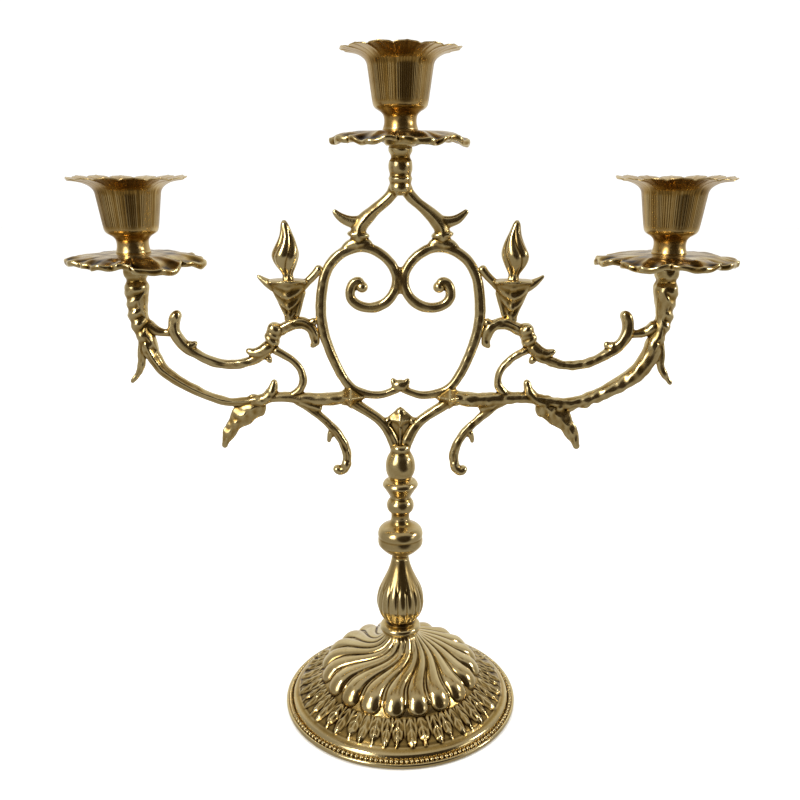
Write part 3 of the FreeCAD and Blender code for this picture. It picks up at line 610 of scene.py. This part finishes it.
def leaf_blade(line, widths, depth, teeth):
    """A leaf: a bar with a sharp ridge down its middle. Its edges swell and pinch into teeth by a
    sine of the length, and its faces carry slanting veins, a sine of length less width."""
    points = bar(line, widths, depth, columns=40)
    middle = points.mean(1, keepdims=True)
    share = np.linspace(0, 1, len(points))[:, None]
    angle = np.linspace(0, TURN, 40, endpoint=False)[None]
    edge = np.abs(np.cos(angle))
    tooth = 1 + 0.1 * edge ** 2 * np.sin(TURN * teeth * share)
    vein = 1 + 0.08 * np.sin(TURN * (share * teeth * 2 - edge)) * (1 - edge)
    faces = 0.42 + 0.58 * (1 - edge)
    scale = np.stack([tooth, vein * faces / np.maximum(np.abs(np.sin(angle)), 0.35) ** 0.5, tooth], -1)
    return middle + (points - middle) * scale


# For each arm: its side and name, the half thicknesses of its lower bar, how far up that bar's
# ridge stands, and how uneven the casting is. The right one is the heavier and rougher.
for side, word, lower_widths, lower_lift, hammer in (
        (1, "right", [4.2, 4.3, 4.2, 3.8, 3.3, 3.0, 2.8, 2.7, 2.7, 3.0, 3.5, 3.7, 3.0], 1.3, 0.42),
        (-1, "left", [3.6, 3.3, 2.9, 2.6, 2.3, 2.2, 2.2, 2.3, 2.5, 2.7, 3.0, 3.3, 3.0], 0.7, 0.3)):
    lower = laid_out([(98.5, 44), (97, 41.2), (93, 35.4), (87.5, 31.8), (81, 28.8), (73.5, 26.2), (66, 24.9),
                      (57.5, 25.6), (49, 26.6), (41, 26.4), (33, 25.9), (25, 26.2), (19.6, 27.6)], side)
    upper = laid_out([(83.9, 52.2), (86, 51.6), (87.2, 48.6), (86.2, 45.2), (82.8, 42.1), (78.6, 39.8),
                      (73.5, 37.8), (67, 36.8), (60.5, 37.4), (54.7, 39.2), (50.8, 42), (48.3, 46)], side)
    arm = [
        # the lower bar, the ridge along it, and the tail that hangs under its outer end
        bar(lower, lower_widths, 1.0),
        bar(lower + (0, 0, lower_lift), [2.0, 1.8, 1.5, 1.3, 1.2, 1.2, 1.2, 1.1, 1.1, 1.2, 1.2, 1.4], 2.3),
        bar(laid_out([(98.5, 46), (100.2, 41), (101.2, 36.6), (103.2, 33.4), (105.8, 31)], side),
            [2.6, 2.5, 2.0, 1.6, 0.9], 0.95, groove=0.2),
        # the upper bar, its three thorns, and the link from it to the post
        bar(upper, [2.7, 2.8, 2.9, 2.7, 2.4, 2.3, 2.3, 2.3, 2.4, 2.6, 2.7], 1.05, groove=0.12),
        bar(laid_out([(83.4, 43), (80.8, 42.7), (78.7, 43.9)], side), [2.7, 2.5, 0.8]),
        bar(laid_out([(49.5, 43.5), (53, 41.2), (56.5, 40.4), (59.9, 41.6)], side), [3.0, 3.2, 2.6, 1.1]),
        bar(laid_out([(51.6, 39.6), (50.9, 38.2), (50, 37.3)], side), [2.3, 1.8, 0.9], 1.1),
        bar(laid_out([(86.2, 47.2), (90.4, 46.6), (95, 47.6), (98.6, 50)], side), [2.2, 1.8, 2.6, 3.4]),
        # the knuckle
        round_lump(laid_out([(48.2, 47.6)], side)[0], (3.9, 3.9, 3.4), side * 0.5),
        round_lump(laid_out([(49.6, 44.6)], side)[0], (4.2, 3.6, 2.8), side * 0.7),
        round_lump(laid_out([(48.9, 46.1)], side)[0], (3.7, 3.6, 3.0), side * 0.6),
        # the knuckle scroll, the hook at its end, and its link to the lyre
        bar(laid_out([(47.6, 46.6), (43.3, 48.6), (38.5, 49.7), (34.8, 48.4), (33, 45.6), (32.9, 42.4)],
                     side), [2.5, 2.8, 2.9, 2.7, 2.5, 1.7], groove=0.18),
        bar(laid_out([(32.6, 45), (33.4, 43.2), (35, 42.3)], side), [2.3, 2.0, 1.0]),
        bar(laid_out([(36, 49), (31.8, 50.6)], side), [2.0, 1.9]),
        # the loop between the bars, and the upright tip on the lower bar
        bar(laid_out([(49.5, 41.6), (46.2, 40.4), (41.8, 38), (38.8, 34.8), (38.2, 31.4), (40.2, 28.4),
                      (43.8, 26.4)], side), [2.3, 1.9, 1.8, 1.8, 1.9, 2.1, 2.3]),
        bar(laid_out([(60, 24.8), (54, 25.8), (50.6, 28.4), (49.4, 32.4)], side), [2.2, 2.8, 2.8, 1.4], 1.1),
        # the hanging scroll with its curled end, its thorn and the braze at its root
        bar(laid_out([(42, 26.2), (38, 24.2), (33.3, 21.4), (28.8, 18.2), (24.8, 14.4), (22, 10), (21.5, 6.4),
                      (22.6, 3.8)], side), [2.3, 2.2, 2.1, 2.0, 2.2, 2.4, 2.3, 2.1], groove=0.22),
        bar(laid_out([(21.6, 6.6), (22.4, 3.6), (24.6, 2.6), (26.2, 4.4)], side), [2.3, 2.5, 2.5, 2.1], 1.05),
        bar(laid_out([(27, 16), (28.4, 13.4), (28.6, 11.8)], side), [2.3, 1.5, 0.7]),
        bar(laid_out([(41, 26), (36, 24.6), (31, 22.6)], side), [2.6, 2.6, 1.8]),
        leaf_blade(laid_out([(53.5, 25.2), (59.4, 22.8), (65, 18.8), (68.8, 14.4), (71, 9.8)], side),
                   [5.2, 6.2, 4.6, 3.0, 1.5], 0.5, 3),
        side_post(side),
    ]
    if side > 0:
        # the bark scales
        for spot in even_line(lower[1:8] + (0, 0, -1.6), 6.4):
            arm.append(round_lump(spot, (3.9, 2.8, 2.2), 0.6))
    cast_in_one("arm_casting_" + word, arm, cast_brass,
                [n + "_" + word for n in ("arm_lower", "arm_upper", "arm_knuckle_scroll", "arm_loop",
                                          "drop_scroll", "drop_leaf", "side_post")],
                hammer=hammer, seed=20 + side)

# ------------------------------ urns and flames
# A flat urn with leaf relief stands on each knuckle scroll, and a small twisted flame is pegged
# into it. Both are castings of their own.
URN_PLACE = 42.4  # percent of the arm's reach
URN_FLATNESS = 0.6  # front to back over side to side
FLAME_FLATNESS = 0.86
FLAME_PEG = 3.5  # length of the peg under the flame
for side, word in ((1, "right"), (-1, "left")):
    urn_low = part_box("urn_" + word)[0].z / MM
    axis = side * URN_PLACE * arm_reach / 100

    def urn_relief(r, height, angle):
        """A rib up the middle of each face and slanting leaves beside it, as rounded waves."""
        face = np.abs(np.sin(angle))
        rib = 0.6 * np.exp(-((1 - face) / 0.02) ** 2)
        waves = 0.7 * np.sin(TURN * (height / 5.2 - (1 - face) * 1.6))
        return (rib + waves * face ** 2) * step(height / 4) * step((17 - height) / 3)

    bowl = turned([(1.8, -1), (2.6, 0.4), (2.5, 2), (3.5, 4.6), (5.0, 8), (6.6, 11.6), (8.0, 15),
                   (9.0, 17.4), (9.4, 18.4), (8.8, 19.1), (5, 19.3), (1.5, 19.6)], 0.4, 96, urn_relief,
                  z=urn_low)
    bowl = bowl * np.array([1, URN_FLATNESS, 1]) + np.array([axis, 0, 0])
    # the bowl, its rim, the outer horn, the link to the lyre, and a bar up the inner side
    urn = [
        bowl,
        bar([(axis - 9, 0, urn_low + 18.3), (axis, 0, urn_low + 18.5), (axis + 9, 0, urn_low + 18.3)],
            [0.8, 0.9, 0.8], 6.4),
        bar(laid_out([(46.4, 60), (50.4, 61.6), (54.2, 63.9)], side), [3.0, 2.0, 0.7]),
        bar(laid_out([(38.4, 60), (35.2, 61.9), (32.2, 64.2), (29.8, 66.6)], side),
            [2.8, 1.9, 1.9, 2.2]),
        bar(laid_out([(39.6, 51.4), (38.6, 54.4), (36.8, 59.6)], side), [1.2, 1.3, 1.6], 1.2),
    ]
    cast_in_one("urn_casting_" + word, urn, cast_brass, ["urn_" + word], hammer=0.14, seed=40 + side)

    def flame_relief(r, height, angle):
        """Five edges that wind a third of a turn from neck to tip, standing up between hollows."""
        wind = angle * 5 + height * 0.24 * side
        return 0.8 * (np.abs(np.cos(wind / 2)) - 0.6) * step(height / 6) * step((26 - height) / 8)

    flame_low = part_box("flame_" + word)[0].z / MM + FLAME_PEG
    flame = turned([(1.4, -3), (1.6, -0.4), (2.9, 0.2), (2.6, 2), (2.6, 4), (4.3, 7), (5.8, 10.4),
                    (6.1, 12.6), (5.3, 15.4), (3.9, 18.6), (2.7, 22), (2.1, 24.6), (1.5, 26.4), (0.6, 27.6)],
                   0.3, 120, flame_relief, curved=True, centre=(axis, 0), z=flame_low)
    flame[..., 1] *= FLAME_FLATNESS
    # it leans outwards by the square of a sine of its height
    flame[..., 0] += side * 0.9 * np.sin((flame[..., 2] - flame_low) / 27 * math.pi * 1.4) ** 2
    flame_mesh = mesh_of("flame", [skin(flame)])
    mark_patina_and_painted_light(flame_mesh)
    piece_of("flame_casting_" + word, flame_mesh, cast_brass, "candelabra", "cast_brass",
             "flame_" + word)

# ------------------------------ drip pans
# A pan is a cast saucer of seven broad acanthus leaves, clamped between its post and its cup.
# The three came from one pattern and were screwed on at different turns.
PAN_LEAVES = 7
PAN_WAIST = 26.8  # radius of the pan in the clefts between leaves
PAN_SEAT = 7.4  # radius of the flat seat under the cup
PAN_TOP = 6.4  # height of the seat above the pan's underside
PAN_WALL = 2.6


def pan_points(columns, turn, long_leaf, seed):
    """Top and underside of a pan as one ring of points. Each leaf is a dome across its width, a
    power of a half sine, with three low toes, a cosine, and its tip bends down by its own amount.
    Broad notches, the square of a drifting sine, bite into the rim, and slow waves warp it. The
    underside follows the top at the thickness of the casting, and half an ellipse joins them."""
    draw = np.random.default_rng(seed)
    angle = np.linspace(0, TURN, columns, endpoint=False)[None]
    place = ((angle - turn) * PAN_LEAVES / TURN) % PAN_LEAVES
    which = np.floor(place).astype(int) % PAN_LEAVES
    u = place % 1
    lengths = draw.uniform(29.8, 31.4, PAN_LEAVES)
    lengths[PAN_LEAVES // 2] = long_leaf
    droops = draw.uniform(1.4, 4.8, PAN_LEAVES)
    full = np.sin(math.pi * u)
    toe = np.cos(TURN * u * 3)
    notches = 1.1 * np.clip(np.sin(11 * angle + 2 * np.sin(3 * angle + seed)), 0, 1) ** 2
    rim = PAN_WAIST + (lengths[which] - PAN_WAIST) * full ** 0.5 - (0.3 + 0.3 * toe) * full ** 0.4 - notches
    s = np.linspace(0, 1, 40)[:, None]
    r = PAN_SEAT + (rim - PAN_SEAT) * s
    dome = (full ** 0.8 - 0.5) * 0.7 * step((s - 0.3) / 0.55)
    bend = -droops[which] * full ** 0.7 * step((s - 0.4) / 0.65) ** 1.3
    toes = -0.09 * toe * full ** 0.4 * step((s - 0.6) / 0.35)
    rib = 0.1 * np.exp(-((u - 0.5) / 0.05) ** 2) * step((s - 0.1) / 0.3)
    gutter = -0.45 * np.exp(-(np.minimum(u, 1 - u) / 0.07) ** 2) * step((s - 0.45) / 0.4)
    ragged = 0.5 * np.sin(8 * angle + seed) * np.sin(13 * angle + 2 * seed) * step((s - 0.6) / 0.4)
    up = PAN_TOP - 0.9 * s + dome + bend + toes + rib + gutter + ragged
    top = np.stack([r * np.cos(angle), r * np.sin(angle), up], -1)
    inner = r - 0.3 * s
    under = np.stack([inner * np.cos(angle), inner * np.sin(angle), up - PAN_WALL - 0.5 * toes], -1)
    across = np.linspace(0, 1, 7)[1:-1, None, None]
    swell = 1 + 0.03 * np.sqrt(across * (1 - across))
    outwards = np.concatenate([swell, swell, swell ** 0], -1)
    round_edge = (top[-1] * (1 - across) + under[-1] * across) * outwards
    boss = turned([(7.1, 0.9), (6.9, 0), (2.7, 0), (2.7, 6), (6.9, 6), (7.2, 6.3)], 1.6, columns)
    return np.concatenate([top, round_edge, under[::-1], boss])


# Each pan's name, its turn, the length of its longest leaf, and the seed of its unevenness.
for word, turn, long_leaf, seed in (("middle", 0.2, 31, 3), ("left", -3.14, 32.6, 5),
                                    ("right", 0, 33.4, 8)):
    low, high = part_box("drip_pan_" + word)
    centre = np.array([(low.x + high.x) / 2 / MM, 0, low.z / MM])
    points = pan_points(560, turn, long_leaf, seed)
    outward = step((np.hypot(points[..., 0], points[..., 1]) - 15) / 12)
    points[..., 2] += 0.7 * lumps(points.reshape(-1, 3), 10, seed).reshape(points.shape[:2]) * outward
    pan_mesh = mesh_of("pan", [skin(points + centre, ring=True)])
    pan_co = corners_of(pan_mesh)[0] - centre
    # Painted shade: the pan is darkened towards its rim to dim the glints on its rounded edge. The even
    # darkening and the mottling added with it are the casting's own tone.
    painted_rim_shade = step((np.hypot(pan_co[:, 0], pan_co[:, 1]) - 23) / 5)
    mark_patina_and_painted_light(pan_mesh, depth=0.9,
                  extra_patina_and_painted_light=0.1 + 0.13 * painted_rim_shade + 0.16 * lumps(pan_co, 6, seed + 1))
    piece_of("drip_pan_casting_" + word, pan_mesh, cast_brass, "candelabra", "cast_brass",
             "drip_pan_" + word)

# ------------------------------ studs
# Short lengths of threaded brass that pin each pan between its post and its cup, out of sight.
# Cut brass is pale and rather dull, with hardly any patina.
threaded_brass = brass("cut_brass_thread", "#DCC894", "#C0A468", "#7A5C30", 0.28, 8, 0.4, 0.01)
for word in ("middle", "left", "right"):
    keep_node("candle_stud_" + word, threaded_brass)

# ------------------------------ candle cups
# A cup is spun and pressed: a waisted foot, a socket with fine upright reeds, and a rim of
# petals folded over it. It screws onto its stud, so the whole cup can turn.
CUP_PETALS = 14
CUP_REEDS = 92
SOCKET_TOP = 14.6  # radius where the petals start
PETAL_SPAN = 11.3  # from there to their tips
REED_DEPTH = 0.09
# Spun brass that is only wiped clean: satin, browner between the reeds and under the petals. Its
# grain is drawn out along the reeds.
satin_brass = brass("reeded_satin_brass", "#DCC28A", "#B08C4A", "#2A1705", 0.19, 16, 0.5, 0.0025,
                    drawn=(1, 1, 0.05))


def cup_points(columns):
    """The cup's outside, rim, bore and floor as one ring of points round its axis. Reeds are
    half waves round the socket, whose spacing drifts and whose depth is worn by slow sines. A
    petal is a half sine that pushes the rim out, with a crease beside it and a fold down its
    middle, both bell curves that deepen towards the edge."""
    outer = even_line([(2.56, 0), (7.4, 0), (7.8, 0.5), (7.5, 1.5), (7.1, 3.2), (7.1, 5), (7.5, 6.5),
                       (8.7, 7.8), (10.4, 8.8), (11.5, 9.8), (12.0, 11), (12.2, 12.2), (12.9, 17),
                       (13.6, 22), (14.1, 25.4), (14.5, 27.2), (15.4, 28.7), (17.2, 30.1), (19.8, 31.3),
                       (22.6, 32.1), (24.6, 32.5), (25.7, 32.7)], 0.6)
    rim = even_line([(25.95, 33), (25.7, 33.25)], 0.3, False)
    inner = even_line([(24.4, 33.1), (21.6, 32.6), (18.4, 31.6), (15.4, 30.3), (13.4, 29), (12.2, 27.9),
                       (11.5, 26.6), (11.1, 25), (11.1, 16.5), (9.6, 9.6), (8.8, 9.3), (2.56, 9.3)],
                      1.5, False)
    line = np.concatenate([outer, rim, inner])
    r, height = line[:, :1], line[:, 1:]
    angle = np.linspace(0, TURN, columns, endpoint=False)[None]
    outside = (np.arange(len(line)) < len(outer))[:, None]
    drift = 1.3 * np.sin(5 * angle) + 0.9 * np.sin(13 * angle + 2)
    worn = 0.55 + 0.45 * np.sin(7 * angle + 1) * np.sin(17 * angle)
    reed = REED_DEPTH * worn * np.abs(np.sin(angle * CUP_REEDS / 2 + drift))
    reeded = step((height - 12.2) / 0.6) * step((27 - height) / 1.5) * outside
    out = np.clip((r - SOCKET_TOP) / PETAL_SPAN, 0, 1)
    u = (angle * CUP_PETALS / TURN) % 1
    petal = np.sin(math.pi * u)
    push = out ** 1.5 * (0.9 * petal ** 0.7 - 0.6)
    crease = -0.4 * out * np.exp(-(np.minimum(u, 1 - u) / 0.08) ** 2) + 0.35 * out ** 2 * (petal - 0.5)
    fold = 0.2 * out * np.exp(-((u - 0.5) / 0.07) ** 2)
    wave = 0.3 * out ** 2 * np.sin(3 * angle + 1)
    radius = r + reed * reeded + push
    return np.stack([radius * np.cos(angle), radius * np.sin(angle), height + crease + fold + wave], -1)


for word, turn in (("middle", 0.12), ("left", 0.4), ("right", 0.25)):
    low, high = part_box("candle_cup_" + word)
    centre = np.array([(low.x + high.x) / 2 / MM, 0, low.z / MM])
    c, s = math.cos(turn), math.sin(turn)
    points = cup_points(CUP_REEDS * 6) @ np.array([[c, s, 0], [-s, c, 0], [0, 0, 1]])
    cup_mesh = mesh_of("cup", [skin(points + centre, ring=True)])
    cup_co = corners_of(cup_mesh)[0] - centre
    around = np.arctan2(cup_co[:, 1], cup_co[:, 0])
    # Painted reflection: uneven dark vertical streaks round the socket stand in for the streaky reflections
    # of the reeds.
    painted_reflection_streaks = 0.5 + 0.5 * np.sin(23 * around + 2 * np.sin(9 * around)) * np.sin(38 * around + 1)
    socket = step((cup_co[:, 2] - 11) / 2) * step((30 - cup_co[:, 2]) / 3)
    mark_patina_and_painted_light(cup_mesh, rounds=1, extra_patina_and_painted_light=socket * (0.22 * painted_reflection_streaks - 0.02))
    piece_of("candle_cup_spun_" + word, cup_mesh, satin_brass, "cup_" + word, "satin_brass",
             "candle_cup_" + word)

# ------------------------------ stage
# A plain pale table, a soft light overhead, one at the upper left and a small one at right. The
# metal reflects a room of its own: a pale back wall, a bright window to the left, a dark corner
# in front.
bpy.context.scene.view_settings.view_transform = "Standard"
floor_mesh = bpy.data.meshes.new("floor")
reach = 3.0
floor_corners = [(-reach, -reach, 0), (reach, -reach, 0), (reach, reach, 0), (-reach, reach, 0)]
floor_mesh.from_pydata(floor_corners, [], [(0, 1, 2, 3)])
floor = bpy.data.objects.new("floor", floor_mesh)
bpy.context.scene.collection.objects.link(floor)
floor.visible_glossy = False
# Matt white laminate: almost one tone, with a grain too faint to notice.
pale = bpy.data.materials.new("pale_table")
pale.use_nodes = True
pale_tree = pale.node_tree
pale_shader = pale_tree.nodes["Principled BSDF"]
pale_shader.inputs["Roughness"].default_value = 0.9
pale_place = node(pale_tree, "ShaderNodeTexCoord").outputs["Object"]
pale_grain = node(pale_tree, "ShaderNodeTexNoise", {"Vector": pale_place, "Scale": 400.0}).outputs["Fac"]
pale_colour = node(pale_tree, "ShaderNodeValToRGB", {"Fac": pale_grain},
                   stops=[(0, "#F4F4F2"), (1, "#FBFAF8")])
pale_tree.links.new(pale_colour.outputs["Color"], pale_shader.inputs["Base Color"])
floor_mesh.materials.append(pale)


def soft_light(name, place, aim, size, power, colour="#FFFFFF", seen_in_metal=True):
    """A square soft box that looks at a point."""
    light = bpy.data.objects.new(name, bpy.data.lights.new(name, "AREA"))
    bpy.context.scene.collection.objects.link(light)
    light.location = place
    way = np.array(aim) - np.array(place)
    light.rotation_euler = (math.atan2(math.hypot(way[0], way[1]), -way[2]), 0,
                            math.atan2(way[0], -way[1]) + math.pi)
    light.data.size, light.data.energy = size, power
    light.data.color = linear(colour)[:3]
    light.visible_glossy = seen_in_metal


soft_light("overhead", (0, 0, 1.6), (0, 0, 0), 1.6, 18, seen_in_metal=False)
soft_light("key", (-0.75, -0.85, 0.95), (0, 0, 0.16), 0.3, 6, "#FFF8EC")
soft_light("strip", (0.95, -0.1, 0.5), (0, 0, 0.16), 0.2, 2.2, "#FFFBF4")

world = bpy.data.worlds.new("room")
bpy.context.scene.world = world
world.use_nodes = True
sky = world.node_tree
sky.nodes.clear()
direction = node(sky, "ShaderNodeTexCoord").outputs["Generated"]


def patch(way, inner, outer):
    """1 within the inner angle of a direction and 0 past the outer one, in degrees."""
    way = np.array(way, float) / np.linalg.norm(way)
    facing = node(sky, "ShaderNodeVectorMath", {0: direction, 1: way},
                  operation="DOT_PRODUCT").outputs["Value"]
    edges = {"Value": facing, "From Min": math.cos(math.radians(outer)),
             "From Max": math.cos(math.radians(inner))}
    return node(sky, "ShaderNodeMapRange", edges, interpolation_type="SMOOTHSTEP").outputs["Result"]


# The room's light is linear red, green and blue, and may pass 1: each patch has its light, its
# direction, and the angles in degrees within which it is full and past which it is gone.
room = (0.35, 0.325, 0.285, 1)
for colour, way, inner, outer in (((0.8, 0.79, 0.76, 1), (0, 1, 0.1), 30, 80),
                                  ((0.5, 0.47, 0.42, 1), (0, 0, 1), 20, 50),
                                  ((0.03, 0.018, 0.005, 1), (0.36, -0.9, 0.22), 30, 47),
                                  ((3.9, 3.75, 3.4, 1), (-0.62, -0.72, 0.3), 7, 19),
                                  ((2.2, 2.1, 1.9, 1), (0.9, -0.42, 0.12), 3, 9)):
    room = node(sky, "ShaderNodeMix", {"Factor": patch(way, inner, outer), 6: room, 7: colour},
                data_type="RGBA").outputs[2]
for_metal = node(sky, "ShaderNodeBackground", {"Color": room, "Strength": 1.0}).outputs[0]
for_rest = node(sky, "ShaderNodeBackground", {"Color": (1, 1, 1, 1), "Strength": 1.1}).outputs[0]
mirrored = node(sky, "ShaderNodeLightPath").outputs["Is Glossy Ray"]
choice = node(sky, "ShaderNodeMixShader", {0: mirrored, 1: for_rest, 2: for_metal}).outputs[0]
node(sky, "ShaderNodeOutputWorld", {"Surface": choice})
